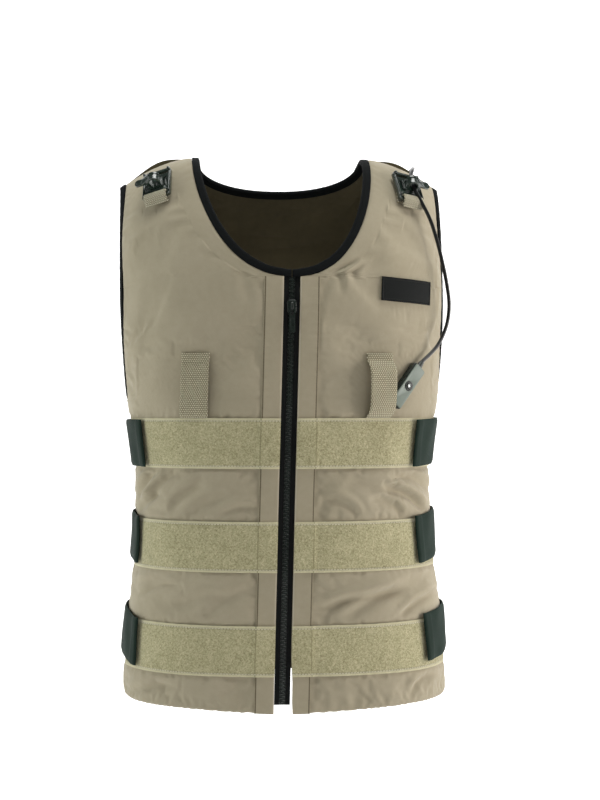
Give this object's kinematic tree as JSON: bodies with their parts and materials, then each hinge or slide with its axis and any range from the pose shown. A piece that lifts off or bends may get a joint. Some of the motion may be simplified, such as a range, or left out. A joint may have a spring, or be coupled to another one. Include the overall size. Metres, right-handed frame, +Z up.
{
  "type": "cooling vest",
  "caption": "Padded zip-front cooling vest in tan cloth with hook-and-loop bands, side straps, chest loops, shoulder hose clips and a lead with an in-line controller.",
  "frame": {"origin": "midway between the tops of the two shoulder seams, where the shoulders carry the vest", "axes": "+Z up, -Y is the vest's front, +X is the wearer's left"},
  "size_m": [0.3446, 0.2346, 0.5629],
  "materials": {
    "tan_cloth": "matte",
    "loop_tape": "brushed pile",
    "tan_webbing": "coarse weave",
    "black_knit": "matte",
    "black_strap": "smooth",
    "black_plastic": "satin",
    "gloss_black": "gloss",
    "black_rubber": "satin",
    "grey_plastic": "satin",
    "steel": "polished"
  },
  "bodies": {
    "vest": {"front_panel_right": "tan_cloth", "front_panel_left": "tan_cloth", "back_panel": "tan_cloth", "neck_binding": "black_knit", "armhole_binding_right": "black_knit", "armhole_binding_left": "black_knit", "zip_tape_right": "black_knit", "zip_tape_left": "black_knit", "zip_facing_right": "tan_cloth", "zip_facing_left": "tan_cloth", "zip_chain": "black_plastic", "zip_slider": "black_plastic", "loop_band_right_1": "loop_tape", "loop_band_right_2": "loop_tape", "loop_band_right_3": "loop_tape", "loop_band_left_1": "loop_tape", "loop_band_left_2": "loop_tape", "loop_band_left_3": "loop_tape", "side_strap_right_1": "black_strap", "side_strap_right_2": "black_strap", "side_strap_right_3": "black_strap", "side_strap_left_1": "black_strap", "side_strap_left_2": "black_strap", "side_strap_left_3": "black_strap", "chest_loop_right": "tan_webbing", "chest_loop_left": "tan_webbing", "label_patch": "black_rubber", "shoulder_tab_right": "tan_webbing", "shoulder_tab_left": "tan_webbing", "clip_base_right": "black_plastic", "clip_base_left": "black_plastic", "hose_clip_right": "black_plastic", "hose_clip_left": "black_plastic", "lead_gland": "black_rubber", "control_lead": "gloss_black", "controller_body": "black_plastic", "controller_plate": "grey_plastic"},
    "pull": {"zip_pull": "black_plastic"},
    "button": {"controller_button": "steel"}
  },
  "joints": [
    {"name": "pull_swing", "type": "hinge", "parent": "vest", "child": "pull", "pos_m": [0.00571, -0.11691, -0.16506], "axis": [-1, -0.0033, 0], "range_deg": [0, 165]},
    {"name": "button_press", "type": "slide", "parent": "vest", "child": "button", "axis": [-0.5126, 0.8577, 0.0403], "range_m": [0, 0.0008], "stiffness_N_per_m": 400, "springref_m": -0.0004}
  ]
}
